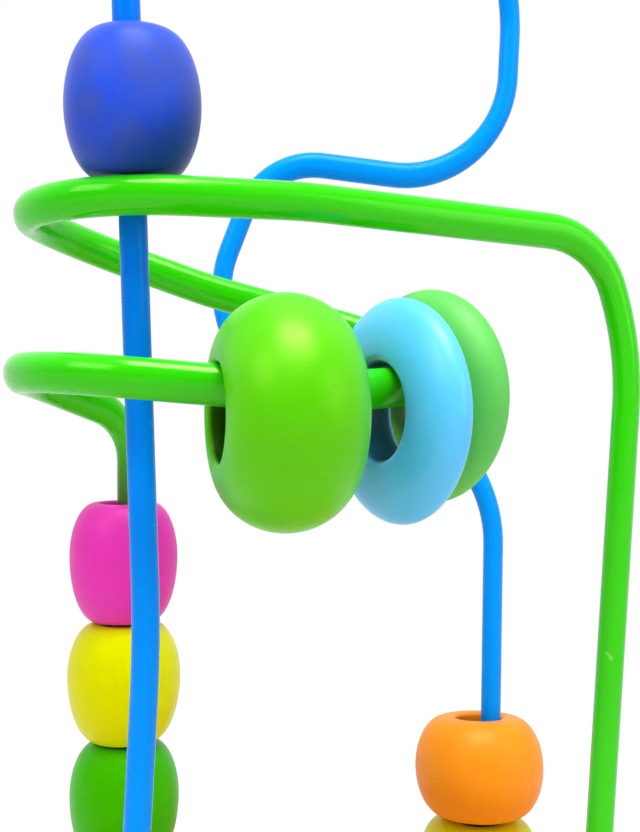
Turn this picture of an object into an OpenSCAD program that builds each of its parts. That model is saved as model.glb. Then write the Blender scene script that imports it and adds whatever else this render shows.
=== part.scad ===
// Tabletop bead maze: two bent, plastic-sleeved steel wires on a beech board, with wooden beads threaded on them.
// Millimetres, +Z up, +X to the viewer's right, +Y away from the viewer. The origin is under the board's middle.

/* [Base] */
// Width of the base board, side to side
base_w = 130; // [120:1:170]
// Depth of the base board, front to back
base_d = 122; // [121:1:160]
// Thickness of the base board
base_t = 14; // [13:0.5:22]
// Radius of the board's corners, seen from above
base_corner_r = 14; // [8:1:22]
// Rounding of the board's top and bottom edges
base_edge_r = 3; // [1:0.5:5]

/* [Feet] */
// Diameter of a rubber foot
foot_d = 12; // [8:1:18]
// Height of a rubber foot
foot_h = 2; // [1:0.5:4]
// Distance of a foot's middle from the board's two nearest edges
foot_inset = 15; // [12:1:24]

/* [Wires] */
// Diameter of the steel rod inside both wires
core_d = 3; // [2.6:0.1:3.6]
// Wall of the green plastic sleeve
green_wall = 0.55; // [0.4:0.05:1]
// Wall of the blue plastic sleeve
blue_wall = 0.3; // [0.25:0.05:0.8]
// Gap between a rod and its sleeve
core_fit = 0.05; // [0.04:0.01:0.15]
// How far the wires thin in a bend, on the radius
bend_thin = 0.05; // [0.04:0.01:0.08]
// Free travel of the left stack of beads, up to the bend above it
stack_lift = 6.7; // [4:0.1:20]
// Height of the upper green turn over the lower one's bend
turn_rise = 28.5; // [28:0.5:40]
// Height of the blue arch over the upper green turn
arch_rise = 70; // [60:1:100]

/* [Barrel beads] */
// Diameter of the two lower barrel beads of the left stack
barrel_d = 17.3; // [15:0.1:19]
// Diameter of the yellow barrel bead
yellow_d = 17.8; // [15:0.1:19]
// Diameter of the pink barrel bead
pink_d = 17; // [15:0.1:19]
// Height of a small barrel bead
barrel_h = 18.8; // [14:0.1:22]
// Diameter of the blue barrel bead
navy_d = 18.5; // [15:0.1:20]
// Height of the blue barrel bead
navy_h = 20.2; // [15:0.1:24]
// Play of a barrel bead's hole over its wire
barrel_play = 2.9; // [2:0.1:3.5]
// Rounding of a barrel bead's hole edges
barrel_rim_r = 0.9; // [0.4:0.1:1.4]

/* [Ring beads] */
// Outer diameter of the three ring beads
ring_d = 30.4; // [28:0.1:34]
// Width of the lime ring bead
lime_w = 18; // [14:0.5:19]
// Width of the sky-blue ring bead
sky_w = 8.6; // [6:0.1:9]
// Width of the grass-green ring bead
grass_w = 8; // [6:0.1:9]
// Play of the lime ring's hole over the green wire
lime_play = 8.4; // [8.2:0.1:10]
// Play of the sky-blue ring's hole over the green wire
sky_play = 8.6; // [8.4:0.1:10]
// Play of the grass-green ring's hole over the green wire
grass_play = 9.2; // [9:0.1:10]
// Rounding of the lime ring's hole edges
lime_rim_r = 1.4; // [1.2:0.1:3.4]
// Rounding of the sky-blue ring's hole edges
sky_rim_r = 1.5; // [1.4:0.1:3.4]
// Rounding of the grass-green ring's hole edges
grass_rim_r = 2.8; // [2.6:0.1:3.4]

/* [Rondelle beads] */
// Diameter of the orange rondelle bead
orange_d = 25; // [20:0.1:28]
// Height of the orange rondelle bead
orange_h = 19; // [14:0.5:24]
// Diameter of the yellow disc bead under it
disc_d = 22; // [16:0.5:26]
// Height of the yellow disc bead
disc_h = 10.1; // [6:0.1:14]
// Play of a rondelle bead's hole over the blue wire
rondelle_play = 5.3; // [4.8:0.1:6]
// Rounding of a rondelle bead's hole edges
rondelle_rim_r = 1.2; // [0.5:0.1:2]

/* [Fixings] */
// Depth that a sleeve sits in the board
sleeve_depth = 4.5; // [3:0.5:6]
// Diameter of the pocket under each wire end
pocket_d = 12; // [11:0.5:16]
// Depth of the pocket under each wire end
pocket_depth = 8; // [7:0.5:9]
// Diameter of a push nut
nut_d = 9; // [7:0.5:10]
// Thickness of a push nut
nut_t = 1.4; // [1:0.1:2]
// Thickness of the wooden plug that closes a pocket
plug_t = 3; // [2:0.25:3.5]

/* [Fits] */
// Gap at which a bead rests on what carries it
seat = 0.3; // [0.2:0.05:0.5]
// Gap round a wire, a rod or a plug in its hole
hole_fit = 0.1; // [0.05:0.05:0.2]

/* [Hidden] */
round_fn = 96;
wire_fn = 48;
arc_steps = 6;
belly_steps = 20;
joint_lap = 0.3;
cut_over = 1;

// How far a rod's cut end stands out under its push nut, and the width of the nut's slots
rod_stub = 2.6;
nut_slot_w = 0.8;

// Room between a hung ring's hole and the wire, and how each ring leans to one side on the wire's curve
hang_room = 0.65;
lime_lean = [0, 1.3, 0.5];
sky_lean = [-1, 0.2, 0.15];
grass_lean = [-1.25, 0.6, 0.6];

// Where each ring hangs, on the lower front run or in degrees along the right turn, and its turn in plan
lime_x = -6.5;
lime_turn = 12;
sky_arc = 52.5;
sky_turn = 27;
grass_arc = 76;
grass_turn = 36.5;

// How far the standing beads lean over, until their holes come this close to the wire
stack_side = barrel_play / 2 - 0.35;
rondelle_side = rondelle_play / 2 - 0.65;

// The blue barrel stands on the upper green run: its place along X, and the run's rise there
navy_x = -27.3;
navy_run_rise = 0.2;

green_d = core_d + 2 * (core_fit + green_wall);
blue_d = core_d + 2 * (core_fit + blue_wall);
bore_d = core_d + 2 * core_fit;

// Heights: the board's top, the left leg's bend over the stack, the lower and upper turns and the arch
deck = foot_h + base_t;
stack_pitch = barrel_h + seat;
leg_bend_r = 9.4;
leg_bend_reach = 6.8;
leg_z = deck + 4 * stack_pitch + stack_lift + leg_bend_reach;
bend_z = leg_z + 1.5;
upper_z = bend_z + turn_rise;
arch_z = upper_z + arch_rise;
sleeve_z = deck - sleeve_depth;
pocket_z = foot_h + pocket_depth;
rod_end_z = pocket_z - nut_t - rod_stub;

// Where the four wire ends stand on the board
green_left = [-32.2, -3];
green_right = [40.5, -8];
blue_left = [-28.5, -31];
blue_right = [31.3, 41];
wire_ends = [green_left, green_right, blue_left, blue_right];
wire_ds = [green_d, green_d, blue_d, blue_d];

// The green wire's corners as [x, y, z, bend radius]: right leg, upper turn, lower turn, left leg
function green_route(end_z) = [
    [green_right.x, green_right.y, end_z, 0],
    [green_right.x, green_right.y, deck + 6, 60],
    [45.9, -8, bend_z + 8.5, 48],
    [40.6, -10, upper_z - 2, 12.7],
    [-4, -28, upper_z + 0.5, 100],
    [-44, -44.5, upper_z - 0.2, 17.3],
    [-44, -3, upper_z - 0.9, 18],
    [-20, 1, upper_z - 9.3, 70],
    [8, 6, bend_z + 11.9, 14],
    ring_corner,
    lower_corner,
    [-44.4, -16.4, bend_z + 4.6, 17.5],
    [green_left.x, green_left.y, leg_z, leg_bend_r],
    [green_left.x, green_left.y, end_z, 0]
];
ring_corner = [31, -44, bend_z - 0.5, 28];
lower_corner = [-42.8, -44, bend_z + 6, 19.5];

// The blue wire's corners in the same form: left leg, arch, S-curve, right leg
function blue_route(end_z) = [
    [blue_left.x, blue_left.y, end_z, 0],
    [blue_left.x, blue_left.y, deck + 6, 60],
    [-25.6, -31, bend_z - 31.2, 200],
    [-29.5, -31, arch_z, 26],
    [36.2, 41, arch_z, 26],
    [33.6, 41, bend_z + 42.5, 20],
    [-12.7, 41, bend_z + 48.5, 14.5],
    [-30.8, 41, bend_z + 1.7, 21.5],
    [32.3, 41, bend_z + 0.5, 28],
    [blue_right.x, blue_right.y, deck + 6, 120],
    [blue_right.x, blue_right.y, end_z, 0]
];

// Vector helpers and the trim that a bend takes off the straights beside it
function place(q) = [q.x, q.y, q.z];
function unit(v) = v / norm(v);
function heading(route, i) = unit(place(route[i + 1]) - place(route[i]));
function corner_angle(route, i) = acos(-heading(route, i - 1) * heading(route, i));
function is_end(route, i) = i == 0 || i == len(route) - 1;
function trim(route, i) = is_end(route, i) ? 0 : route[i][3] / tan(corner_angle(route, i) / 2);
function lap(route, i) = is_end(route, i) ? 0 : joint_lap;
function columns(x, y, z, at) = [
    [x.x, y.x, z.x, at.x],
    [x.y, y.y, z.y, at.y],
    [x.z, y.z, z.z, at.z],
    [0, 0, 0, 1]
];
function side_of(u) = unit(cross(abs(u.z) < 0.9 ? [0, 0, 1] : [1, 0, 0], u));

// One straight of a wire, which reaches a little into the bends at its ends
module straight(route, i, d) {
    u = heading(route, i);
    from = trim(route, i) - lap(route, i);
    to = trim(route, i + 1) - lap(route, i + 1);
    x = side_of(u);
    multmatrix(columns(x, cross(u, x), u, place(route[i]) + from * u))
        cylinder(d = d, h = norm(place(route[i + 1]) - place(route[i])) - from - to, $fn = wire_fn);
}

// One bend of a wire, as a stretch of a torus
module bend(route, i, d) {
    back = -heading(route, i - 1);
    ahead = heading(route, i);
    half = corner_angle(route, i) / 2;
    r = route[i][3];
    middle = place(route[i]) + unit(back + ahead) * r / sin(half);
    u = unit(place(route[i]) + back * trim(route, i) - middle);
    multmatrix(columns(u, -back, cross(u, -back), middle))
        rotate_extrude(angle = 180 - 2 * half, $fn = round_fn)
            translate([r, 0])
                circle(d = d - 2 * bend_thin, $fn = wire_fn);
}

module rod(route, d) {
    for (i = [0 : len(route) - 2]) straight(route, i, d);
    for (i = [1 : len(route) - 2]) bend(route, i, d);
}

// A turned bead on the Z axis: an elliptical belly between flat faces, and a through hole with rounded edges
module bead(d, h, hole_d, rim_r) {
    face_r = hole_d / 2 + rim_r;
    belly = d / 2 - face_r;
    outside = [for (k = [0 : belly_steps]) let (t = -90 + 180 * k / belly_steps)
        [face_r + belly * cos(t), h / 2 * sin(t)]];
    rim_top = [for (k = [1 : arc_steps]) let (t = 90 + 90 * k / arc_steps)
        [face_r + rim_r * cos(t), h / 2 - rim_r + rim_r * sin(t)]];
    rim_bottom = [for (k = [0 : arc_steps - 1]) let (t = 180 + 90 * k / arc_steps)
        [face_r + rim_r * cos(t), -h / 2 + rim_r + rim_r * sin(t)]];
    rotate_extrude($fn = round_fn)
        polygon(concat(outside, rim_top, rim_bottom));
}

// A ring bead that hangs on the green wire, with its axis level and turned by az in plan
module hung_bead(at, az, w, play, rim_r) {
    translate(at)
        rotate([0, 0, az])
            rotate([0, 90, 0])
                bead(ring_d, w, green_d + play, rim_r);
}

// Points of the lower front run and of the right turn's arc, from which the ring beads hang
function on_run(x) = place(lower_corner)
    + (x - lower_corner.x) / (ring_corner.x - lower_corner.x) * (place(ring_corner) - place(lower_corner));
function on_arc(deg) =
    let (route = green_route(0))
    let (i = search([ring_corner], route)[0])
    let (back = -heading(route, i - 1))
    let (ahead = heading(route, i))
    let (half = corner_angle(route, i) / 2)
    let (r = ring_corner[3])
    let (middle = place(ring_corner) + unit(back + ahead) * r / sin(half))
    let (u = unit(place(ring_corner) + ahead * trim(route, i) - middle))
    middle + r * (cos(deg) * u - sin(deg) * ahead);
function hang(play) = [0, 0, hang_room - play / 2];

// A barrel bead of the left stack, counted up from the board
module stacked_barrel(k, d) {
    translate([green_left.x - stack_side, green_left.y, deck + seat + k * stack_pitch + barrel_h / 2])
        bead(d, barrel_h, green_d + barrel_play, barrel_rim_r);
}

// A rounded board from its edge profile: straight sides and turned corners round a core
module rounded_board(w, d, t, corner_r, edge_r) {
    profile = concat(
        [[0, 0]],
        [for (k = [0 : arc_steps]) let (a = -90 + 90 * k / arc_steps)
            [corner_r - edge_r + edge_r * cos(a), edge_r + edge_r * sin(a)]],
        [for (k = [0 : arc_steps]) let (a = 90 * k / arc_steps)
            [corner_r - edge_r + edge_r * cos(a), t - edge_r + edge_r * sin(a)]],
        [[0, t]]
    );
    x = w / 2 - corner_r;
    y = d / 2 - corner_r;
    translate([-x, -y, 0])
        cube([2 * x, 2 * y, t]);
    for (turn = [0, 180]) rotate(turn) {
        translate([x, y, 0])
            rotate([90, 0, 0])
                linear_extrude(2 * y)
                    polygon(profile);
        translate([-x, y, 0])
            rotate([90, 0, 90])
                linear_extrude(2 * x)
                    polygon(profile);
        translate([x, y, 0])
            rotate_extrude(angle = 90, $fn = round_fn)
                polygon(profile);
        translate([-x, y, 0])
            rotate(90)
                rotate_extrude(angle = 90, $fn = round_fn)
                    polygon(profile);
    }
}

// The stepped hole of one wire end: sleeve socket, rod hole and pocket
module wire_hole(at, d) {
    translate([at.x, at.y, sleeve_z])
        cylinder(d = d + 2 * hole_fit, h = sleeve_depth + cut_over, $fn = round_fn);
    translate([at.x, at.y, pocket_z - cut_over])
        cylinder(d = core_d + 2 * hole_fit, h = deck - pocket_z, $fn = round_fn);
    translate([at.x, at.y, foot_h - cut_over])
        cylinder(d = pocket_d, h = pocket_depth + cut_over, $fn = round_fn);
}

module base_board() {
    color("#e2bd8a")
        difference() {
            translate([0, 0, foot_h])
                rounded_board(base_w, base_d, base_t, base_corner_r, base_edge_r);
            for (k = [0 : 3]) wire_hole(wire_ends[k], wire_ds[k]);
        }
}

// A foot's edges are eased by a quarter of its height
module foot(sx, sy) {
    ease = foot_h / 4;
    color("#3a3a3c")
        translate([sx * (base_w / 2 - foot_inset), sy * (base_d / 2 - foot_inset), 0])
            rotate_extrude($fn = round_fn)
                polygon([[0, 0], [foot_d / 2 - ease, 0], [foot_d / 2, ease], [foot_d / 2, foot_h], [0, foot_h]]);
}

module green_wire_core() {
    color("#b9bcc0")
        rod(green_route(rod_end_z), core_d);
}

module green_wire_sleeve() {
    color("#35cc1c")
        difference() {
            rod(green_route(sleeve_z), green_d);
            rod(green_route(sleeve_z - cut_over), bore_d);
        }
}

module blue_wire_core() {
    color("#b9bcc0")
        rod(blue_route(rod_end_z), core_d);
}

module blue_wire_sleeve() {
    color("#0a8cf5")
        difference() {
            rod(blue_route(sleeve_z), blue_d);
            rod(blue_route(sleeve_z - cut_over), bore_d);
        }
}

// A spring-steel push nut: a flat disc with three slots that let its teeth grip the rod
module push_nut(k) {
    slot_reach = nut_d * 0.35;
    color("#8d9095")
        translate([wire_ends[k].x, wire_ends[k].y, pocket_z - nut_t])
            difference() {
                cylinder(d = nut_d, h = nut_t, $fn = round_fn);
                translate([0, 0, -cut_over])
                    cylinder(d = core_d + 2 * hole_fit, h = nut_t + 2 * cut_over, $fn = round_fn);
                for (turn = [0, 120, 240]) rotate(turn)
                    translate([0, -nut_slot_w / 2, -cut_over])
                        cube([slot_reach, nut_slot_w, nut_t + 2 * cut_over]);
            }
}

// A wooden plug pressed flush into the pocket, over the cut rod
module hole_plug(k) {
    color("#d8b17c")
        translate([wire_ends[k].x, wire_ends[k].y, foot_h])
            cylinder(d = pocket_d - 2 * hole_fit, h = plug_t, $fn = round_fn);
}

module bead_lime_ring() {
    color("#6ad80a")
        hung_bead(on_run(lime_x) + lime_lean + hang(lime_play), lime_turn, lime_w, lime_play, lime_rim_r);
}

module bead_sky_ring() {
    color("#58bdf5")
        hung_bead(on_arc(sky_arc) + sky_lean + hang(sky_play), sky_turn, sky_w, sky_play, sky_rim_r);
}

module bead_green_ring() {
    color("#5cc34c")
        hung_bead(on_arc(grass_arc) + grass_lean + hang(grass_play), grass_turn, grass_w, grass_play, grass_rim_r);
}

module bead_sky_barrel() {
    color("#46aef0")
        stacked_barrel(0, barrel_d);
}

module bead_green_barrel() {
    color("#3cb414")
        stacked_barrel(1, barrel_d);
}

module bead_yellow_barrel() {
    color("#e2e000")
        stacked_barrel(2, yellow_d);
}

module bead_pink_barrel() {
    color("#e22fae")
        stacked_barrel(3, pink_d);
}

module bead_navy_barrel() {
    color("#3349c4")
        translate([navy_x, blue_left.y, upper_z + navy_run_rise + green_d / 2 + seat + navy_h / 2])
            bead(navy_d, navy_h, blue_d + barrel_play, barrel_rim_r);
}

module bead_yellow_disc() {
    color("#e2e000")
        translate([blue_right.x - rondelle_side, blue_right.y, deck + seat + disc_h / 2])
            bead(disc_d, disc_h, blue_d + rondelle_play, rondelle_rim_r);
}

module bead_orange_rondelle() {
    color("#ff8c1a")
        translate([blue_right.x - rondelle_side, blue_right.y, deck + disc_h + 2 * seat + orange_h / 2])
            bead(orange_d, orange_h, blue_d + rondelle_play, rondelle_rim_r);
}

base_board();
foot(-1, -1);  // foot_front_left
foot(1, -1);  // foot_front_right
foot(-1, 1);  // foot_back_left
foot(1, 1);  // foot_back_right
green_wire_core();
green_wire_sleeve();
blue_wire_core();
blue_wire_sleeve();
push_nut(0);  // push_nut_green_left
push_nut(1);  // push_nut_green_right
push_nut(2);  // push_nut_blue_left
push_nut(3);  // push_nut_blue_right
hole_plug(0);  // hole_plug_green_left
hole_plug(1);  // hole_plug_green_right
hole_plug(2);  // hole_plug_blue_left
hole_plug(3);  // hole_plug_blue_right
bead_lime_ring();
bead_sky_ring();
bead_green_ring();
bead_sky_barrel();
bead_green_barrel();
bead_yellow_barrel();
bead_pink_barrel();
bead_navy_barrel();
bead_yellow_disc();
bead_orange_rondelle();
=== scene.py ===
import math

import bpy
import numpy as np
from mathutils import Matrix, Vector
from mathutils.geometry import tessellate_polygon


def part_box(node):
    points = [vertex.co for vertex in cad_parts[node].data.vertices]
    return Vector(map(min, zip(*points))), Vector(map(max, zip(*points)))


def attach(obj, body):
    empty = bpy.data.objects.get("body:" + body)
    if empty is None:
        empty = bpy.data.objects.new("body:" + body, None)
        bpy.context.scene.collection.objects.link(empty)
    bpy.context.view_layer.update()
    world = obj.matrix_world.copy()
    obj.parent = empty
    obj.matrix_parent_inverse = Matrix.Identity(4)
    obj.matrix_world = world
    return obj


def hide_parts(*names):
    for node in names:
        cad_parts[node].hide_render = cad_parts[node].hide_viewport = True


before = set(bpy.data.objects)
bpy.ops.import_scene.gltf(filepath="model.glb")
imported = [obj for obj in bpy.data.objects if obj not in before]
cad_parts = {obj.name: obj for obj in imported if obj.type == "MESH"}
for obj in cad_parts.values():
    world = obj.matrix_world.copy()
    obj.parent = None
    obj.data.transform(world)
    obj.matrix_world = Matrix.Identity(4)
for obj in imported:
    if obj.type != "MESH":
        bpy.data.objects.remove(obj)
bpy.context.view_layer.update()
mm = 0.001
print("frame loaded with", len(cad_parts), "CAD nodes")


# Shared helpers

def toLinear(hexColour):  # sRGB hex to linear RGBA
    srgb = np.array([int(hexColour[i:i + 2], 16) for i in (1, 3, 5)]) / 255
    linear = np.where(srgb <= 0.04045, srgb / 12.92, ((srgb + 0.055) / 1.055) ** 2.4)
    return (*linear.tolist(), 1.0)


def addNode(tree, kind, inputs=None, **settings):  # an input takes a plain value or another node's socket
    node = tree.nodes.new(kind)
    for key, value in settings.items():
        setattr(node, key, value)
    for key, value in (inputs or {}).items():
        if isinstance(value, bpy.types.NodeSocket):
            tree.links.new(value, node.inputs[key])
        else:
            node.inputs[key].default_value = value
    return node


colourA, colourB, colourOut = 6, 7, 2  # a colour mix's sockets, by number because their names aren't unique


def newMaterial(name):
    material = bpy.data.materials.new(name)
    material.use_nodes = True
    material.node_tree.nodes.clear()
    return material, material.node_tree


def smoothStep(low, high, value):
    share = np.clip((value - low) / (high - low), 0, 1)
    return share * share * (3 - 2 * share)


def unit(vectors):
    return vectors / np.linalg.norm(vectors, axis=-1, keepdims=True)


def boxOf(node):  # a CAD node's corners in millimetres
    low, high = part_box(node)
    return np.array(low) / mm, np.array(high) / mm


# Quads between neighbouring rows and columns of a grid whose columns go all round, as its rows may too
def gridFaces(rows, columns, closeRows=False, start=0):
    row = np.arange(rows if closeRows else rows - 1)[:, None]
    column = np.arange(columns)[None, :]
    nextRow = (row + 1) % rows
    nextColumn = (column + 1) % columns
    corners = (row * columns + column, row * columns + nextColumn,
               nextRow * columns + nextColumn, nextRow * columns + column)
    return np.stack(np.broadcast_arrays(*corners), -1).reshape(-1, 4) + start


# A finished piece from points in millimetres; pattern holds each point's own place for the material, and
# shares how far the material changes to another colour there
def makePiece(name, points, faces, material, body, replaced, pattern=None, shares=None):
    sharpAngle = 40  # degrees; flatter edges are shaded smooth
    mesh = bpy.data.meshes.new(name)
    mesh.from_pydata((points * mm).tolist(), [], faces)
    mesh.polygons.foreach_set("use_smooth", np.ones(len(mesh.polygons), dtype=bool))
    mesh.set_sharp_from_angle(angle=math.radians(sharpAngle))
    if pattern is not None:
        places = mesh.attributes.new("place", "FLOAT_VECTOR", "POINT")
        places.data.foreach_set("vector", np.asarray(pattern, dtype=np.float32).ravel())
    for key, values in (shares or {}).items():
        attribute = mesh.attributes.new(key, "FLOAT", "POINT")
        attribute.data.foreach_set("value", np.asarray(values, dtype=np.float32).ravel())
    mesh.materials.append(material)
    piece = bpy.data.objects.new(name, mesh)
    bpy.context.scene.collection.objects.link(piece)
    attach(piece, body)
    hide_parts(replaced)


# A profile of (radius, height) turned about the Z axis, one row for each profile point
def turnedPoints(profile, columns):
    angle = np.linspace(0, 2 * np.pi, columns, endpoint=False)
    radius = profile[:, :1]
    height = np.broadcast_to(profile[:, 1:], (len(profile), columns))
    return np.stack([radius * np.cos(angle), radius * np.sin(angle), height], -1).reshape(-1, 3)


# A stretch of a circle in the profile's plane, angles in degrees
def arc(centre, radius, fromAngle, toAngle, steps):
    angle = np.radians(np.linspace(fromAngle, toAngle, steps + 1))
    return np.column_stack([centre[0] + radius * np.cos(angle), centre[1] + radius * np.sin(angle)])


# Camera: the photograph's view, which looks along +Y and slightly down; in mm, degrees and pixels
camera = dict(place=(-2, -194, 109.5), downTilt=1.0, focalPixels=1200, longSidePixels=832, sensor=36,
              clipNear=5, clipFar=20000)

cameraData = bpy.data.cameras.new("photoCamera")
cameraData.sensor_width = camera["sensor"]
cameraData.lens = camera["sensor"] * camera["focalPixels"] / camera["longSidePixels"]
cameraData.clip_start = camera["clipNear"] * mm
cameraData.clip_end = camera["clipFar"] * mm
cameraObject = bpy.data.objects.new("photoCamera", cameraData)
cameraObject.location = np.array(camera["place"]) * mm
cameraObject.rotation_euler = (math.radians(90 - camera["downTilt"]), 0, 0)
bpy.context.scene.collection.objects.link(cameraObject)
bpy.context.scene.camera = cameraObject
bpy.context.scene.view_settings.view_transform = "Standard"
print("camera set")


# Materials

# Satin water-based paint on turned beech: an even colour that is a little cloudy, faint open pores
# along the bead's axis, painted shade inside the hole and at a bead's lower right, and a broad soft sheen
def satinPaint(name, colour, cloudColour, paintedShadeColour, shine, cloudAmount, cloudSize, roughness, specular):
    poreWidth, poreLength, poreDepth = 0.45, 5.0, 0.03  # mm; drawn coarse, as real ones of 0.1 mm don't show
    poreColour, poreStrength = "#272727", 0.07
    material, tree = newMaterial(name)
    place = addNode(tree, "ShaderNodeAttribute", attribute_name="place").outputs["Vector"]
    clouds = addNode(tree, "ShaderNodeTexNoise", {
        "Vector": place, "Scale": 1 / cloudSize, "Detail": 3.0, "Roughness": 0.6})
    cloudMask = addNode(tree, "ShaderNodeMapRange", {
        "Value": clouds.outputs["Fac"], "From Min": 0.35, "From Max": 0.7, "To Max": cloudAmount})
    alongGrain = addNode(tree, "ShaderNodeMapping", {
        "Vector": place, "Scale": (1 / poreWidth, 1 / poreWidth, 1 / poreLength)})
    pores = addNode(tree, "ShaderNodeTexNoise", {
        "Vector": alongGrain.outputs["Vector"], "Scale": 1.0, "Detail": 2.0, "Roughness": 0.5})
    poreMask = addNode(tree, "ShaderNodeMapRange", {
        "Value": pores.outputs["Fac"], "From Min": 0.6, "From Max": 0.74})
    cloudy = addNode(tree, "ShaderNodeMix", {
        "Factor": cloudMask.outputs["Result"], colourA: toLinear(colour), colourB: toLinear(cloudColour)},
        data_type="RGBA")
    poreTint = addNode(tree, "ShaderNodeMath", {
        0: poreMask.outputs["Result"], 1: poreStrength}, operation="MULTIPLY")
    grained = addNode(tree, "ShaderNodeMix", {
        "Factor": poreTint.outputs["Value"],
        colourA: cloudy.outputs[colourOut], colourB: toLinear(poreColour)}, data_type="RGBA")
    # painted shade: the colour darkens inside the hole and at a bead's lower right
    deep = addNode(tree, "ShaderNodeAttribute", attribute_name="deep").outputs["Fac"]
    shaded = addNode(tree, "ShaderNodeMix", {
        "Factor": deep, colourA: grained.outputs[colourOut], colourB: toLinear(paintedShadeColour)}, data_type="RGBA")
    sheen = addNode(tree, "ShaderNodeMapRange", {
        "Value": clouds.outputs["Fac"], "From Min": 0.3, "From Max": 0.7,
        "To Min": roughness - 0.04, "To Max": roughness + 0.05})
    relief = addNode(tree, "ShaderNodeBump", {
        "Height": poreMask.outputs["Result"], "Strength": 0.12, "Distance": poreDepth * mm}, invert=True)
    shader = addNode(tree, "ShaderNodeBsdfPrincipled", {
        "Base Color": shaded.outputs[colourOut], "Roughness": sheen.outputs["Result"], "IOR": 1.5,
        "Specular IOR Level": specular, "Specular Tint": toLinear(shine), "Normal": relief.outputs["Normal"]})
    addNode(tree, "ShaderNodeOutputMaterial", {"Surface": shader.outputs["BSDF"]})
    return material


# Glossy extruded plastic: one clear colour with very slight bands along its length, painted shade on
# stretches that lie in shadow, fine die lines, a few rubbed spots and a pale worn mark
def extrudedPlastic(name, colour, bandColour, paintedShadeColour, wornColour, shine, roughness, specular):
    bandLength, rubSize = 14.0, 2.2  # mm
    dieWidth, dieLength, dieDepth = 0.35, 21.0, 0.03  # mm; drawn wide enough to show, real ones are finer
    material, tree = newMaterial(name)
    place = addNode(tree, "ShaderNodeAttribute", attribute_name="place").outputs["Vector"]
    bands = addNode(tree, "ShaderNodeTexNoise", {
        "Vector": place, "Scale": 1 / bandLength, "Detail": 2.0, "Roughness": 0.5})
    bandMask = addNode(tree, "ShaderNodeMapRange", {
        "Value": bands.outputs["Fac"], "From Min": 0.4, "From Max": 0.7, "To Max": 0.3})
    along = addNode(tree, "ShaderNodeMapping", {
        "Vector": place, "Scale": (1 / dieWidth, 1 / dieWidth, 1 / dieLength)})
    dieLines = addNode(tree, "ShaderNodeTexNoise", {
        "Vector": along.outputs["Vector"], "Scale": 1.0, "Detail": 1.0, "Roughness": 0.4})
    rubs = addNode(tree, "ShaderNodeTexNoise", {
        "Vector": place, "Scale": 1 / rubSize, "Detail": 4.0, "Roughness": 0.65})
    rubMask = addNode(tree, "ShaderNodeMapRange", {
        "Value": rubs.outputs["Fac"], "From Min": 0.45, "From Max": 0.8,
        "To Min": roughness, "To Max": roughness + 0.12})
    tinted = addNode(tree, "ShaderNodeMix", {
        "Factor": bandMask.outputs["Result"], colourA: toLinear(colour), colourB: toLinear(bandColour)},
        data_type="RGBA")
    # painted shade on the stretches of the legs that lie in shadow
    deep = addNode(tree, "ShaderNodeAttribute", attribute_name="deep").outputs["Fac"]
    shaded = addNode(tree, "ShaderNodeMix", {
        "Factor": deep, colourA: tinted.outputs[colourOut], colourB: toLinear(paintedShadeColour)}, data_type="RGBA")
    worn = addNode(tree, "ShaderNodeAttribute", attribute_name="worn").outputs["Fac"]
    nicked = addNode(tree, "ShaderNodeMix", {
        "Factor": worn, colourA: shaded.outputs[colourOut], colourB: toLinear(wornColour)}, data_type="RGBA")
    relief = addNode(tree, "ShaderNodeBump", {
        "Height": dieLines.outputs["Fac"], "Strength": 0.04, "Distance": dieDepth * mm})
    shader = addNode(tree, "ShaderNodeBsdfPrincipled", {
        "Base Color": nicked.outputs[colourOut], "Roughness": rubMask.outputs["Result"], "IOR": 1.48,
        "Specular IOR Level": specular, "Specular Tint": toLinear(shine), "Normal": relief.outputs["Normal"]})
    addNode(tree, "ShaderNodeOutputMaterial", {"Surface": shader.outputs["BSDF"]})
    return material


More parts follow.
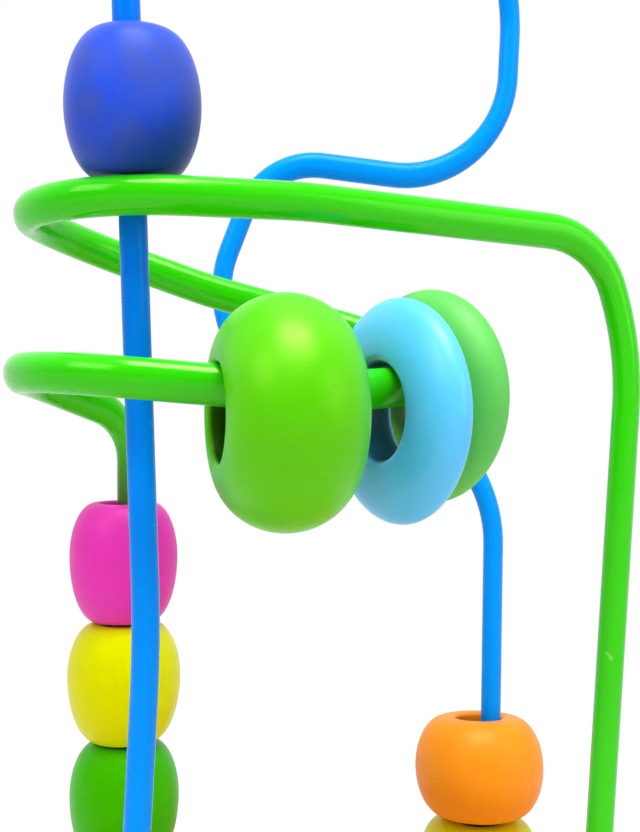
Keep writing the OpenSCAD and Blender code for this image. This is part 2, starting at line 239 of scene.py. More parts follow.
# Sanded beech under matt lacquer: growth rings round a heart above the piece, given as its y and z in mm,
# short dark flecks along the grain and fine pores
def lacqueredBeech(name, pale, warm, fleck, heart, ringWidth):
    fleckWidth, fleckLength = 0.45, 3.2  # mm
    poreWidth, poreDepth = 0.3, 0.06  # mm; drawn coarse enough to show, real ones are 0.1 mm wide
    swaySize, swayReach = 45, 16  # mm; how far apart and how much the rings wander
    waveLength = 0.314  # spacing of a wave texture's rings at a scale of 1
    material, tree = newMaterial(name)
    place = addNode(tree, "ShaderNodeTexCoord").outputs["Object"]
    inMillimetres = addNode(tree, "ShaderNodeMapping", {
        "Vector": place, "Location": (0, -heart[0], -heart[1]), "Scale": (1 / mm, 1 / mm, 1 / mm)})
    sway = addNode(tree, "ShaderNodeTexNoise", {
        "Vector": inMillimetres.outputs["Vector"], "Scale": 1 / swaySize, "Detail": 2.0, "Roughness": 0.5})
    swayed = addNode(tree, "ShaderNodeVectorMath", {
        0: sway.outputs["Color"], 1: (0, swayReach, swayReach)}, operation="MULTIPLY")
    bent = addNode(tree, "ShaderNodeVectorMath", {
        0: inMillimetres.outputs["Vector"], 1: swayed.outputs["Vector"]}, operation="ADD")
    rings = addNode(tree, "ShaderNodeTexWave", {
        "Vector": bent.outputs["Vector"], "Scale": waveLength / ringWidth, "Distortion": 1.2, "Detail": 2.0,
        "Detail Scale": 1.5}, wave_type="RINGS", rings_direction="X", wave_profile="SAW")
    ringMask = addNode(tree, "ShaderNodeMapRange", {
        "Value": rings.outputs["Fac"], "From Min": 0.1, "From Max": 1.0, "To Max": 0.75})
    ringed = addNode(tree, "ShaderNodeMix", {
        "Factor": ringMask.outputs["Result"], colourA: toLinear(pale), colourB: toLinear(warm)},
        data_type="RGBA")
    alongGrain = addNode(tree, "ShaderNodeMapping", {
        "Vector": inMillimetres.outputs["Vector"],
        "Scale": (1 / fleckLength, 1 / fleckWidth, 1 / fleckWidth)})
    flecks = addNode(tree, "ShaderNodeTexNoise", {
        "Vector": alongGrain.outputs["Vector"], "Scale": 1.0, "Detail": 1.0, "Roughness": 0.4})
    fleckMask = addNode(tree, "ShaderNodeMapRange", {
        "Value": flecks.outputs["Fac"], "From Min": 0.66, "From Max": 0.74, "To Max": 0.55})
    flecked = addNode(tree, "ShaderNodeMix", {
        "Factor": fleckMask.outputs["Result"], colourA: ringed.outputs[colourOut], colourB: toLinear(fleck)},
        data_type="RGBA")
    pores = addNode(tree, "ShaderNodeTexNoise", {
        "Vector": alongGrain.outputs["Vector"], "Scale": fleckWidth / poreWidth, "Detail": 3.0,
        "Roughness": 0.6})
    relief = addNode(tree, "ShaderNodeBump", {
        "Height": pores.outputs["Fac"], "Strength": 0.15, "Distance": poreDepth * mm})
    gloss = addNode(tree, "ShaderNodeMapRange", {
        "Value": pores.outputs["Fac"], "From Min": 0.3, "From Max": 0.7, "To Min": 0.42, "To Max": 0.56})
    shader = addNode(tree, "ShaderNodeBsdfPrincipled", {
        "Base Color": flecked.outputs[colourOut], "Roughness": gloss.outputs["Result"], "IOR": 1.5,
        "Normal": relief.outputs["Normal"]})
    addNode(tree, "ShaderNodeOutputMaterial", {"Surface": shader.outputs["BSDF"]})
    return material


# Moulded rubber: nearly black, with a fine matt grain and a little dust
def mouldedRubber(name, colour, dustColour):
    grainSize, grainDepth, dustSize = 0.35, 0.05, 4.0  # mm
    material, tree = newMaterial(name)
    place = addNode(tree, "ShaderNodeTexCoord").outputs["Object"]
    grain = addNode(tree, "ShaderNodeTexNoise", {
        "Vector": place, "Scale": 1 / (grainSize * mm), "Detail": 2.0})
    dust = addNode(tree, "ShaderNodeTexNoise", {
        "Vector": place, "Scale": 1 / (dustSize * mm), "Detail": 3.0})
    dustMask = addNode(tree, "ShaderNodeMapRange", {
        "Value": dust.outputs["Fac"], "From Min": 0.45, "From Max": 0.75, "To Max": 0.4})
    dusty = addNode(tree, "ShaderNodeMix", {
        "Factor": dustMask.outputs["Result"], colourA: toLinear(colour), colourB: toLinear(dustColour)},
        data_type="RGBA")
    relief = addNode(tree, "ShaderNodeBump", {
        "Height": grain.outputs["Fac"], "Strength": 0.3, "Distance": grainDepth * mm})
    shader = addNode(tree, "ShaderNodeBsdfPrincipled", {
        "Base Color": dusty.outputs[colourOut], "Roughness": 0.72, "IOR": 1.52,
        "Normal": relief.outputs["Normal"]})
    addNode(tree, "ShaderNodeOutputMaterial", {"Surface": shader.outputs["BSDF"]})
    return material


# Bare steel, drawn or stamped: stained metal with fine scratches that change how sharply it shines
def bareSteel(name, colour, stainColour, roughness):
    scratchSize, stainSize = 0.5, 3.0  # mm; scratches drawn coarse enough to show, real ones are finer
    material, tree = newMaterial(name)
    place = addNode(tree, "ShaderNodeTexCoord").outputs["Object"]
    scratches = addNode(tree, "ShaderNodeTexNoise", {
        "Vector": place, "Scale": 1 / (scratchSize * mm), "Detail": 4.0, "Roughness": 0.7})
    stains = addNode(tree, "ShaderNodeTexNoise", {
        "Vector": place, "Scale": 1 / (stainSize * mm), "Detail": 3.0})
    stainMask = addNode(tree, "ShaderNodeMapRange", {
        "Value": stains.outputs["Fac"], "From Min": 0.4, "From Max": 0.75, "To Max": 0.6})
    stainAndPaintedShade = addNode(tree, "ShaderNodeMix", {
        "Factor": stainMask.outputs["Result"], colourA: toLinear(colour), colourB: toLinear(stainColour)},
        data_type="RGBA")
    gloss = addNode(tree, "ShaderNodeMapRange", {
        "Value": scratches.outputs["Fac"], "From Min": 0.3, "From Max": 0.7,
        "To Min": roughness - 0.08, "To Max": roughness + 0.1})
    shader = addNode(tree, "ShaderNodeBsdfPrincipled", {
        "Base Color": stainAndPaintedShade.outputs[colourOut], "Metallic": 1.0, "Roughness": gloss.outputs["Result"]})
    addNode(tree, "ShaderNodeOutputMaterial", {"Surface": shader.outputs["BSDF"]})
    return material


# Beads: a belly that is half an ellipse from face to face, widest at swell mm over its middle, a flat ring
# on each face, and a straight hole with rounded edges. The second array is each point's share of the painted
# shade inside the hole
def beadProfile(diameter, height, hole, rim, flat=0, swell=0):
    bellySteps, rimSteps, wallSteps = 56, 10, 6
    paintedShadeFrom, paintedShadeTo = 0.1 * rim, 1.3 * rim  # depths under the face between which the colour deepens
    rimRadius = hole / 2 + rim
    faceRadius = rimRadius + flat
    angle = np.radians(np.linspace(-90, 90, bellySteps + 1))
    reach = np.where(angle < 0, height / 2 + swell, height / 2 - swell)
    belly = np.column_stack([faceRadius + (diameter / 2 - faceRadius) * np.cos(angle),
                             swell + reach * np.sin(angle)])
    topRim = arc((rimRadius, height / 2 - rim), rim, 90, 180, rimSteps)
    bottomRim = arc((rimRadius, rim - height / 2), rim, 180, 270, rimSteps)
    if flat == 0:  # the belly's ends are the rims' ends
        topRim, bottomRim = topRim[1:], bottomRim[:-1]
    wall = np.column_stack([np.full(wallSteps - 1, hole / 2),
                            np.linspace(height / 2 - rim, rim - height / 2, wallSteps + 1)[1:-1]])
    profile = np.vstack([belly, topRim, wall, bottomRim])
    # painted shade: inside the hole the colour darkens with depth
    depth = height / 2 - np.abs(profile[:, 1])
    holeShade = profile[:, 0] < rimRadius - rim / 2
    return profile, np.where(holeShade, smoothStep(paintedShadeFrom, paintedShadeTo, depth), 0)


# A bead in its CAD node's place, or a little beside it. A standing bead leans back by lean degrees; a ring
# bead's axis lies level and is turned by turn degrees in plan. Some beads get painted shade at their lower
# right
def makeBead(name, body, slot, material, hole, rim, flat=0, swell=0, width=None, turn=0, lean=0,
             shift=(0, 0, 0), lowerRightShade=0):
    columns = 144
    lowerShadeSide, lowerShadeFrom, lowerShadeTo = (0.6, 0, -0.8), 0.25, 0.95  # direction, and shares of the half height
    low, high = boxOf(name)
    height = high[2] - low[2]
    if width is None:
        profile, holeShade = beadProfile(high[0] - low[0], height, hole, rim, flat, swell)
    else:
        profile, holeShade = beadProfile(height, width, hole, rim)
    local = turnedPoints(profile, columns)
    # painted shade at the lower right, teal tinted as if reflecting the green wire below
    stainAndPaintedShade = lowerRightShade * smoothStep(lowerShadeFrom, lowerShadeTo, local @ lowerShadeSide / (height / 2))
    x, y, z = local.T
    turned = math.radians(lean if width is None else turn)
    c, s = math.cos(turned), math.sin(turned)
    if width is None:
        placed = np.column_stack([x, c * y + s * z, c * z - s * y])
    else:
        placed = np.column_stack([c * z - s * y, s * z + c * y, -x])
    faces = gridFaces(len(profile), columns, closeRows=True).tolist()
    makePiece(name + "_painted", placed + (low + high) / 2 + shift, faces, material, body, name,
              pattern=local, shares={"deep": np.maximum(np.repeat(holeShade, columns), stainAndPaintedShade)})


beadPaints = {  # colour, the clouds' colour, the painted shade's colour in the hole and at a lower right, the shine's tint, the clouds' strength and size
    "lime_paint": dict(colour="#50c600", cloudColour="#5ccc00", paintedShadeColour="#0a3000", shine="#ffff80",
                       cloudAmount=0.4, cloudSize=6, roughness=0.37, specular=0.55),
    "sky_paint": dict(colour="#58c6ff", cloudColour="#60caff", paintedShadeColour="#16506e", shine="#f0ffff",
                      cloudAmount=0.4, cloudSize=6, roughness=0.34, specular=0.5),
    "grass_paint": dict(colour="#58c450", cloudColour="#62ca58", paintedShadeColour="#1a5014", shine="#ffffe0",
                        cloudAmount=0.4, cloudSize=6, roughness=0.5, specular=0.5),
    "leaf_paint": dict(colour="#3cb800", cloudColour="#4ac000", paintedShadeColour="#0c3a00", shine="#a0ff10",
                       cloudAmount=0.4, cloudSize=5, roughness=0.36, specular=0.3),
    "yellow_paint": dict(colour="#e6e400", cloudColour="#d8e200", paintedShadeColour="#6a6000", shine="#ffff00",
                         cloudAmount=0.4, cloudSize=5, roughness=0.36, specular=0.3),
    "pink_paint": dict(colour="#f02ab2", cloudColour="#e434b0", paintedShadeColour="#5a0a3c", shine="#ffb0ff",
                       cloudAmount=0.4, cloudSize=5, roughness=0.46, specular=0.75),
    "navy_paint": dict(colour="#2a50d6", cloudColour="#4656a4", paintedShadeColour="#10345c", shine="#5078ff",
                       cloudAmount=0.9, cloudSize=7, roughness=0.36, specular=0.25),
    "orange_paint": dict(colour="#ff9600", cloudColour="#ff8a00", paintedShadeColour="#e88010", shine="#ffecb0",
                         cloudAmount=0.4, cloudSize=5, roughness=0.46, specular=0.65),
}
paints = {slot: satinPaint("satin_" + slot, **look) for slot, look in beadPaints.items()}

ringBeads = {  # hole and rim in mm, width along the axis, turn in plan, and shift on the wire
    "bead_lime_ring": dict(body="lime_ring", slot="lime_paint", hole=12.6, rim=0.8, width=17.8, turn=15.5,
                           shift=(0, 0.4, 0.1)),
    "bead_sky_ring": dict(body="sky_ring", slot="sky_paint", hole=13.2, rim=1.1, width=7.4, turn=30,
                          shift=(0, 0, -0.2)),
    "bead_green_ring": dict(body="green_ring", slot="grass_paint", hole=13.4, rim=2.8, width=8, turn=36.5),
}
standingBeads = {  # hole, rim, swell and flat ring in mm, lean in degrees, and how much painted shade the bead has at its lower right
    "bead_sky_barrel": dict(body="sky_barrel", slot="sky_paint", hole=7.1, rim=0.9, swell=0.9),
    "bead_green_barrel": dict(body="green_barrel", slot="leaf_paint", hole=7.1, rim=0.9, swell=0.9),
    "bead_yellow_barrel": dict(body="yellow_barrel", slot="yellow_paint", hole=7.1, rim=0.9, swell=0.9),
    "bead_pink_barrel": dict(body="pink_barrel", slot="pink_paint", hole=7.1, rim=0.9, swell=0.9),
    "bead_navy_barrel": dict(body="navy_barrel", slot="navy_paint", hole=6.6, rim=0.9, lowerRightShade=0.75),
    "bead_yellow_disc": dict(body="yellow_disc", slot="yellow_paint", hole=9.0, rim=1.2),
    "bead_orange_rondelle": dict(body="orange_rondelle", slot="orange_paint", hole=9.0, rim=0.7, flat=1.6,
                                 lean=5, shift=(0, 0, 0.35)),
}
for node, bead in {**ringBeads, **standingBeads}.items():
    makeBead(node, material=paints[bead["slot"]], **bead)
print("beads made:", len(ringBeads) + len(standingBeads))


# Wires: the same corners as the CAD routes, (x, y, z, bend radius) in mm
wires = dict(
    deck=boxOf("base_board")[1][2],       # top of the board
    stackLift=6.7, legReach=6.8,          # free height over the left stack, and the bend above it
    turnStep=1.5, turnRise=28.5,          # lower green turn over that bend, and the upper turn over the lower
    sleeveDepth=4.5,                      # how deep a sleeve sits in the board
    greenRadius=2.1, blueRadius=1.93,     # the blue one as thick as the photograph shows, 0.08 over the CAD's
    boreRadius=1.55,
    tallAbove=1.18, tallBelow=1.38,       # level runs are drawn this much taller, as the photograph shows
    step=1.2, columns=56)                 # spacing of the rings of points, and points in a ring

deckZ = wires["deck"]
legZ = boxOf("bead_pink_barrel")[1][2] + wires["stackLift"] + wires["legReach"]
bendZ = legZ + wires["turnStep"]
upperZ = bendZ + wires["turnRise"]
archZ = boxOf("blue_wire_sleeve")[1][2] - wires["blueRadius"] * wires["tallAbove"]
sleeveZ = deckZ - wires["sleeveDepth"]

greenRoute = [  # right leg, upper turn, lower turn, left leg
    (40.5, -8, sleeveZ, 0), (40.5, -8, deckZ + 6, 60), (45.9, -8, bendZ + 8.5, 48),
    (40.6, -10, upperZ - 2, 12.7), (-4, -28, upperZ + 0.5, 100), (-44, -44.5, upperZ - 0.2, 17.3),
    (-44, -3, upperZ - 0.9, 18), (-20, 1, upperZ - 9.3, 70), (8, 6, bendZ + 11.9, 14),
    (31, -44, bendZ - 0.5, 28), (-42.8, -44, bendZ + 6, 19.5), (-44.4, -16.4, bendZ + 4.6, 17.5),
    (-32.2, -3, legZ, 9.4), (-32.2, -3, sleeveZ, 0)]
blueRoute = [  # left leg, arch, S-curve, right leg
    (-28.5, -31, sleeveZ, 0), (-28.5, -31, deckZ + 6, 60), (-25.6, -31, bendZ - 31.2, 200),
    (-29.5, -31, archZ, 26), (36.2, 41, archZ, 26), (33.6, 41, bendZ + 42.5, 20),
    (-12.7, 41, bendZ + 48.5, 14.5), (-30.8, 41, bendZ + 1.7, 21.5), (32.3, 41, bendZ + 0.5, 28),
    (31.3, 41, deckZ + 6, 120), (31.3, 41, sleeveZ, 0)]


# A path with each stretch cut into its own count of equal parts
def subdivided(points, counts):
    share = np.concatenate([np.arange(n) / n for n in counts])[:, None]
    first = np.repeat(np.arange(len(counts)), counts)
    return np.vstack([points[first] + share * (points[first + 1] - points[first]), points[-1:]])


# Points along a route: straight between corners, with each corner cut by a circular arc of its radius
def routePoints(route, step):
    leastSteps = 4  # in an arc
    corners = np.array(route, dtype=float)
    place, radius = corners[:, :3], corners[:, 3]
    ahead = unit(np.diff(place, axis=0))
    stretches = [place[:1]]
    for i in range(1, len(place) - 1):
        back, front = -ahead[i - 1], ahead[i]
        half = math.acos(np.clip(back @ front, -1, 1)) / 2
        start = place[i] + back * radius[i] / math.tan(half)
        middle = place[i] + unit(back + front) * radius[i] / math.sin(half)
        outward = unit(start - middle)
        sweep = math.pi - 2 * half
        angle = np.linspace(0, sweep, max(leastSteps, int(radius[i] * sweep / step)) + 1)[:, None]
        stretches.append(middle + radius[i] * (np.cos(angle) * outward - np.sin(angle) * back))
    stretches.append(place[-1:])
    bends = np.vstack(stretches)
    lengths = np.linalg.norm(np.diff(bends, axis=0), axis=1)  # long straights get points of their own
    return subdivided(bends, np.maximum(1, np.round(lengths / step).astype(int)))


# Two cross directions at each point of a path, carried along it without twist
def pathFrames(points):
    tangent = unit(np.gradient(points, axis=0))
    across = np.empty_like(tangent)
    across[0] = unit(np.cross(tangent[0], (0.0, 1.0, 0.0)))
    for i in range(1, len(points)):  # each step depends on the one before
        across[i] = unit(across[i - 1] - (across[i - 1] @ tangent[i]) * tangent[i])
    return across, np.cross(tangent, across)


# A nick on the right green leg's front, in mm: its place on the path, how near to it each step of the path is
# cut into parts, its two ends as sideways offset and height, and how wide and deep it is
nick = dict(place=(43.2, -8, 69.35), reach=2.5, parts=12,
            start=(-0.95, 69.75), end=(-0.3, 68.95), width=0.22, depth=0.14)


# How far each outside point lies in the nick: a bell curve of its distance from the nick's line
def nickShare(points, outside):
    start, end = np.array(nick["start"]), np.array(nick["end"])
    offset = outside - points[:, None]
    front = np.stack([offset[..., 0], outside[..., 2]], -1)
    along = np.clip((front - start) @ (end - start) / ((end - start) @ (end - start)), 0, 1)[..., None]
    away = np.linalg.norm(front - start - along * (end - start), axis=-1)
    nearRow = np.linalg.norm(points - nick["place"], axis=1)[:, None] < nick["reach"]
    return np.where(nearRow & (offset[..., 1] < 0), np.exp(-(away / nick["width"]) ** 2), 0)


# A tube: a circle carried along the path on the outside, and back again along the bore; where the path
# runs level, the circle's height is stretched by its own share above and below the path
def makeSleeve(name, route, radius, paintedShadeShare, material):
    points = routePoints(route, wires["step"])
    middles = (points[1:] + points[:-1]) / 2
    nearNick = np.linalg.norm(middles - nick["place"], axis=1) < nick["reach"]
    points = subdivided(points, np.where(nearNick, nick["parts"], 1))
    across, beside = pathFrames(points)
    columns = wires["columns"]
    angle = np.linspace(0, 2 * np.pi, columns, endpoint=False)
    spoke = across[:, None] * np.cos(angle)[:, None] + beside[:, None] * np.sin(angle)[:, None]
    tall = spoke.copy()
    tall[..., 2] *= np.where(spoke[..., 2] > 0, wires["tallAbove"], wires["tallBelow"])
    outside = points[:, None] + radius * tall
    worn = nickShare(points, outside)
    outside -= nick["depth"] * worn[..., None] * spoke
    bore = (points[:, None] + wires["boreRadius"] * spoke)[::-1]
    along = np.concatenate([[0], np.cumsum(np.linalg.norm(np.diff(points, axis=0), axis=1))])
    ring = np.stack([np.cos(angle), np.sin(angle)], -1)
    straightened = np.concatenate([
        np.broadcast_to(radius * ring, (len(points), columns, 2)),
        np.broadcast_to(along[:, None, None], (len(points), columns, 1))], -1)
    # painted shade along the stretches in shadow
    share = paintedShadeShare(points)
    faces = gridFaces(2 * len(points), columns, closeRows=True).tolist()
    makePiece(name + "_tube", np.concatenate([outside, bore]).reshape(-1, 3), faces, material, "maze_frame",
              name, pattern=np.concatenate([straightened, straightened[::-1]]).reshape(-1, 3),
              shares={"deep": np.repeat(np.concatenate([share, share[::-1]]), columns),
                      "worn": np.concatenate([worn, np.zeros_like(worn)])})


# Painted shade on the left legs where they lie in shadow: the green one just over its stack of beads and the
# blue one towards the bead that it carries; mm from the leg, under and over the green leg's bend, and over
# the board
paintedShadeStretch = dict(nearLeg=3, underBend=14, overBend=2, overDeck=34)


# painted shade on the green left leg just over its stack of beads
def greenPaintedShade(points):
    x, y = greenRoute[-1][:2]
    onLeg = np.hypot(points[:, 0] - x, points[:, 1] - y) < paintedShadeStretch["nearLeg"]
    fade = smoothStep(legZ - paintedShadeStretch["underBend"], legZ + paintedShadeStretch["overBend"], points[:, 2])
    return np.where(onLeg, 1 - fade, 0)


# painted shade on the blue left leg, darker towards the top, under the navy bead and the green turn
def bluePaintedShade(points):
    onLeg = (points[:, 1] < blueRoute[0][1] + paintedShadeStretch["nearLeg"]) & (points[:, 0] < 0)
    return np.where(onLeg, smoothStep(deckZ + paintedShadeStretch["overDeck"], upperZ, points[:, 2]), 0)


sleevePlastics = dict(  # colour, the bands', the painted shade's and the nick's colour, the shine's tint
    green=dict(colour="#2acc00", bandColour="#38c806", paintedShadeColour="#3c6a20", wornColour="#8cd85c",
               shine="#f0ffb0", roughness=0.17, specular=0.55),
    blue=dict(colour="#0094ff", bandColour="#008efc", paintedShadeColour="#0078ec", wornColour="#70c0ff",
              shine="#a0e8ff", roughness=0.22, specular=0.18))
greenPlastic = extrudedPlastic("extruded_green_plastic", **sleevePlastics["green"])
bluePlastic = extrudedPlastic("extruded_blue_plastic", **sleevePlastics["blue"])
makeSleeve("green_wire_sleeve", greenRoute, wires["greenRadius"], greenPaintedShade, greenPlastic)
makeSleeve("blue_wire_sleeve", blueRoute, wires["blueRadius"], bluePaintedShade, bluePlastic)
print("wires made")


# Board: a rounded rectangle whose rim follows quarter circles, with a stepped hole for each wire end
board = dict(cornerRadius=14, edgeRadius=3, cornerSteps=20, edgeSteps=10, holeColumns=48,
             socketPlay=0.1, mouthEase=0.5, easeSteps=4, rodHoleRadius=1.6, pocketRadius=6, pocketDepth=8)
wireEnds = [(*greenRoute[-1][:2], wires["greenRadius"]), (*greenRoute[0][:2], wires["greenRadius"]),
            (*blueRoute[0][:2], wires["blueRadius"]), (*blueRoute[-1][:2], wires["blueRadius"])]


# The plan outline, drawn in by each inset: four arcs round fixed corner centres, anticlockwise
def planOutline(halfWidth, halfDepth, insets):
    turns = np.linspace(0, 90, board["cornerSteps"] + 1)
    angle = np.radians(np.concatenate([turns + 90 * k for k in range(4)]))
    corner = np.repeat([(1, 1), (-1, 1), (-1, -1), (1, -1)], len(turns), axis=0)
    centre = corner * (np.array([halfWidth, halfDepth]) - board["cornerRadius"])
    radius = (board["cornerRadius"] - insets)[:, None, None]
    return centre + radius * np.column_stack([np.cos(angle), np.sin(angle)])


# Flat face between an outline and its holes, as triangles that look up or down
def flatFace(points, loops, up):
    triangles = np.array(tessellate_polygon([points[loop].tolist() for loop in loops]))
    indices = np.concatenate(loops)[triangles]
    a, b, c = (points[indices[:, k], :2] for k in range(3))
    area = (b[:, 0] - a[:, 0]) * (c[:, 1] - a[:, 1]) - (b[:, 1] - a[:, 1]) * (c[:, 0] - a[:, 0])
    turned = (area > 0) != up
    indices[turned] = indices[turned][:, ::-1]
    return indices


def makeBoard(name, material):
    low, high = boxOf(name)
    edge = board["edgeRadius"]
    rim = np.vstack([arc((0, low[2] + edge), edge, -90, 0, board["edgeSteps"]),
                     arc((0, high[2] - edge), edge, 0, 90, board["edgeSteps"])])
    outline = planOutline(high[0], high[1], edge - rim[:, 0])
    columns = outline.shape[1]
    heights = np.broadcast_to(rim[:, 1:, None], (len(rim), columns, 1))
    points = [np.concatenate([outline, heights], -1).reshape(-1, 3)]
    faces = [gridFaces(len(rim), columns)]
    start = len(points[0])
    bottomLoops = [np.arange(columns)]
    topLoops = [np.arange(start - columns, start)]
    ease, count = board["mouthEase"], board["holeColumns"]
    pocketTop = low[2] + board["pocketDepth"]
    for x, y, radius in wireEnds:
        socket = radius + board["socketPlay"]
        profile = np.vstack([
            arc((socket + ease, high[2] - ease), ease, 90, 180, board["easeSteps"]),
            [(socket, sleeveZ), (board["rodHoleRadius"], sleeveZ), (board["rodHoleRadius"], pocketTop),
             (board["pocketRadius"], pocketTop), (board["pocketRadius"], low[2])]])
        points.append(turnedPoints(profile, count) + (x, y, 0))
        faces.append(gridFaces(len(profile), count, start=start))
        topLoops.append(np.arange(start, start + count))
        start += len(profile) * count
        bottomLoops.append(np.arange(start - count, start))
    points = np.vstack(points)
    faces += [flatFace(points, topLoops, True), flatFace(points, bottomLoops, False)]
    allFaces = [face for group in faces for face in group.tolist()]
    makePiece(name + "_beech", points, allFaces, material, "maze_frame", name)


# A solid turned piece: its profile goes round its node's middle, and a fan closes each end on the axis
def makeTurned(name, suffix, profile, material):
    columns = 64
    low, high = boxOf(name)
    middle = np.append((low[:2] + high[:2]) / 2, 0)
    rings = turnedPoints(profile, columns) + middle
    poles = middle + np.array([(0, 0, profile[0, 1]), (0, 0, profile[-1, 1])])
    around = np.arange(columns)
    beside = (around + 1) % columns
    lastRing = (len(profile) - 1) * columns
    bottomPole, topPole = len(rings), len(rings) + 1
    bottomFan = np.column_stack([np.full(columns, bottomPole), beside, around])
    topFan = np.column_stack([np.full(columns, topPole), lastRing + around, lastRing + beside])
    faces = gridFaces(len(profile), columns).tolist() + bottomFan.tolist() + topFan.tolist()
    makePiece(name + suffix, np.vstack([rings, poles]), faces, material, "maze_frame", name)


beech = lacqueredBeech("lacquered_beech", pale="#e6c08c", warm="#d9a970", fleck="#a8743f",
                       heart=(-18, 70), ringWidth=4.5)
plugBeech = lacqueredBeech("lacquered_beech_plug", pale="#dcb27c", warm="#cf9e64", fleck="#9c6a38",
                           heart=(30, 40), ringWidth=3)
rubber = mouldedRubber("moulded_rubber", colour="#343436", dustColour="#5a5955")
makeBoard("base_board", beech)

foot = dict(edgeRound=0.5, roundSteps=8, sideTaper=0.25, topBand=0.4, innerShare=0.5)
for corner in ("front_left", "front_right", "back_left", "back_right"):
    node = "foot_" + corner
    low, high = boxOf(node)
    radius, soft = (high[0] - low[0]) / 2, foot["edgeRound"]
    inner = radius * foot["innerShare"]  # a ring on each flat end, so that its fan is even
    profile = np.vstack([
        [(inner, 0)], arc((radius - soft - foot["sideTaper"], soft), soft, -90, 0, foot["roundSteps"]),
        [(radius, high[2] - foot["topBand"]), (radius, high[2]), (inner, high[2])]])
    makeTurned(node, "_rubber", profile, rubber)

plug = dict(edgeRound=0.3, roundSteps=5)
for end in ("green_left", "green_right", "blue_left", "blue_right"):
    node = "hole_plug_" + end
    low, high = boxOf(node)
    radius, soft = (high[0] - low[0]) / 2, plug["edgeRound"]
    profile = np.vstack([arc((radius - soft, low[2] + soft), soft, -90, 0, plug["roundSteps"]),
                         arc((radius - soft, high[2] - soft), soft, 0, 90, plug["roundSteps"])])
    makeTurned(node, "_beech", profile, plugBeech)
print("board, feet and plugs made")


# CAD pieces that keep their own shape, inside the board and the sleeves
drawnSteel = bareSteel("drawn_steel", colour="#b9bcc0", stainColour="#9da0a5", roughness=0.3)
springSteel = bareSteel("stamped_spring_steel", colour="#83868b", stainColour="#6b6d72", roughness=0.42)
for node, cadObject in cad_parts.items():
    if node.endswith("_core") or node.startswith("push_nut"):
        cadObject.data.materials.clear()
        cadObject.data.materials.append(drawnSteel if node.endswith("_core") else springSteel)
print("steel pieces finished")


# Studio: white floor and surroundings, a large soft box overhead and weaker ones at the front left and right
studio = dict(
    floorSize=6000, floorColour="#dedede", floorShade="#c4c4c4", floorGlow=0.5, fadeFrom=110, fadeTo=330,
    surroundings=0.46,
    behindCamera=0.12, darkFrom=-0.5, darkTo=0.3,  # the room's dark side, and the Y between which it fades
    softBoxes=[  # place and target in mm, width and height in mm, radiance
        dict(name="topBox", place=(30, -180, 600), target=(20, -30, 110), size=(300, 270), radiance=13.5),
        dict(name="keyBox", place=(-300, -280, 380), target=(0, -20, 110), size=(240, 200), radiance=3.6),
        dict(name="fillBox", place=(420, -260, 260), target=(0, -10, 110), size=(240, 300), radiance=2.2)])
white = toLinear("#ffffff")


def seenDirectly(tree):  # 1 for rays from the camera and for what shines or lets light through
    rays = addNode(tree, "ShaderNodeLightPath").outputs
    shiny = addNode(tree, "ShaderNodeMath", {
        0: rays["Is Glossy Ray"], 1: rays["Is Transmission Ray"]}, operation="MAXIMUM")
    return addNode(tree, "ShaderNodeMath", {
        0: rays["Is Camera Ray"], 1: shiny.outputs["Value"]}, operation="MAXIMUM").outputs["Value"]


# Near the object the floor takes its shadow; from fadeFrom to fadeTo mm off, it turns plain white
def whiteFloor():
    material, tree = newMaterial("white_paper")
    place = addNode(tree, "ShaderNodeTexCoord").outputs["Object"]
    distance = addNode(tree, "ShaderNodeVectorMath", {0: place}, operation="LENGTH")
    far = addNode(tree, "ShaderNodeMapRange", {
        "Value": distance.outputs["Value"],
        "From Min": studio["fadeFrom"] * mm, "From Max": studio["fadeTo"] * mm},
        interpolation_type="SMOOTHSTEP")
    bounce = addNode(tree, "ShaderNodeBsdfDiffuse", {"Color": toLinear(studio["floorColour"])})
    shade = addNode(tree, "ShaderNodeBsdfDiffuse", {"Color": toLinear(studio["floorShade"])})
    glow = addNode(tree, "ShaderNodeEmission", {"Color": white, "Strength": studio["floorGlow"]})
    plain = addNode(tree, "ShaderNodeEmission", {"Color": white, "Strength": 1.0})
    near = addNode(tree, "ShaderNodeAddShader", {0: shade.outputs["BSDF"], 1: glow.outputs["Emission"]})
    shown = addNode(tree, "ShaderNodeMixShader", {
        0: far.outputs["Result"], 1: near.outputs["Shader"], 2: plain.outputs["Emission"]})
    mixed = addNode(tree, "ShaderNodeMixShader", {
        0: seenDirectly(tree), 1: bounce.outputs["BSDF"], 2: shown.outputs["Shader"]})
    addNode(tree, "ShaderNodeOutputMaterial", {"Surface": mixed.outputs["Shader"]})
    return material


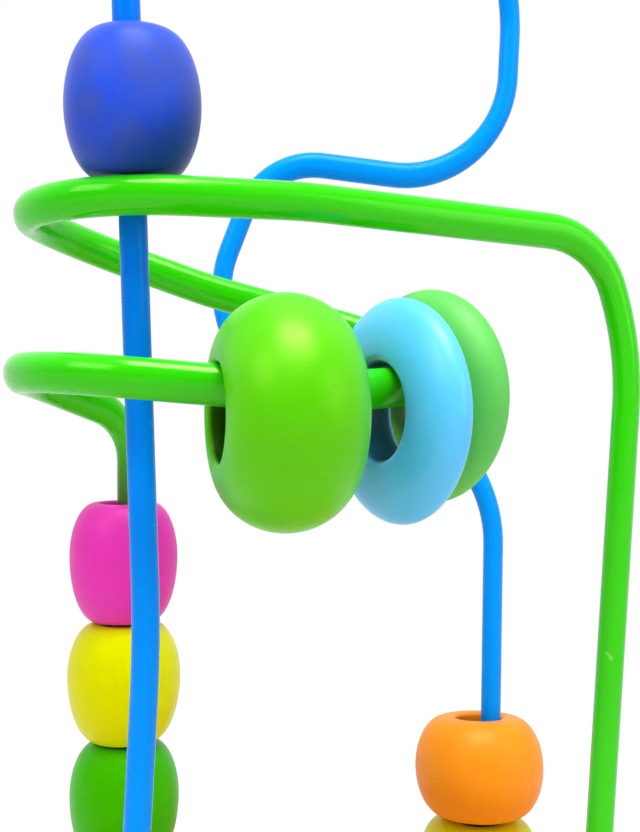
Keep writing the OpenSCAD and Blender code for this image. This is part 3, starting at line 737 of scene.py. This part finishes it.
floorMesh = bpy.data.meshes.new("floor")
half = studio["floorSize"] / 2 * mm
floorCorners = [(-half, -half, 0), (half, -half, 0), (half, half, 0), (-half, half, 0)]
floorMesh.from_pydata(floorCorners, [], [(0, 1, 2, 3)])
floorMesh.materials.append(whiteFloor())
floor = bpy.data.objects.new("floor", floorMesh)
bpy.context.scene.collection.objects.link(floor)

world = bpy.data.worlds.new("whiteRoom")
world.use_nodes = True
roomTree = world.node_tree
roomTree.nodes.clear()
rays = addNode(roomTree, "ShaderNodeLightPath").outputs
direction = addNode(roomTree, "ShaderNodeTexCoord").outputs["Generated"]
towards = addNode(roomTree, "ShaderNodeSeparateXYZ", {"Vector": direction}).outputs
darkSide = addNode(roomTree, "ShaderNodeMapRange", {  # what shines shows a darker room behind the camera
    "Value": towards["Y"], "From Min": studio["darkFrom"], "From Max": studio["darkTo"],
    "To Min": studio["behindCamera"], "To Max": 1.0})
mirrored = addNode(roomTree, "ShaderNodeMapRange", {
    "Value": rays["Is Glossy Ray"], "To Min": 1.0, "To Max": darkSide.outputs["Result"]})
level = addNode(roomTree, "ShaderNodeMapRange", {
    "Value": seenDirectly(roomTree), "To Min": studio["surroundings"], "To Max": mirrored.outputs["Result"]})
room = addNode(roomTree, "ShaderNodeBackground", {
    "Color": white, "Strength": level.outputs["Result"]})
addNode(roomTree, "ShaderNodeOutputWorld", {"Surface": room.outputs["Background"]})
bpy.context.scene.world = world

for softBox in studio["softBoxes"]:
    width, height = (side * mm for side in softBox["size"])
    lamp = bpy.data.lights.new(softBox["name"], "AREA")
    lamp.shape = "RECTANGLE"
    lamp.size, lamp.size_y = width, height
    lamp.energy = math.pi * width * height * softBox["radiance"]
    lampObject = bpy.data.objects.new(softBox["name"], lamp)
    lampObject.location = np.array(softBox["place"]) * mm
    aim = Vector((np.array(softBox["target"]) - np.array(softBox["place"])) * mm)
    lampObject.rotation_euler = aim.to_track_quat("-Z", "Y").to_euler()
    bpy.context.scene.collection.objects.link(lampObject)
print("studio lit")
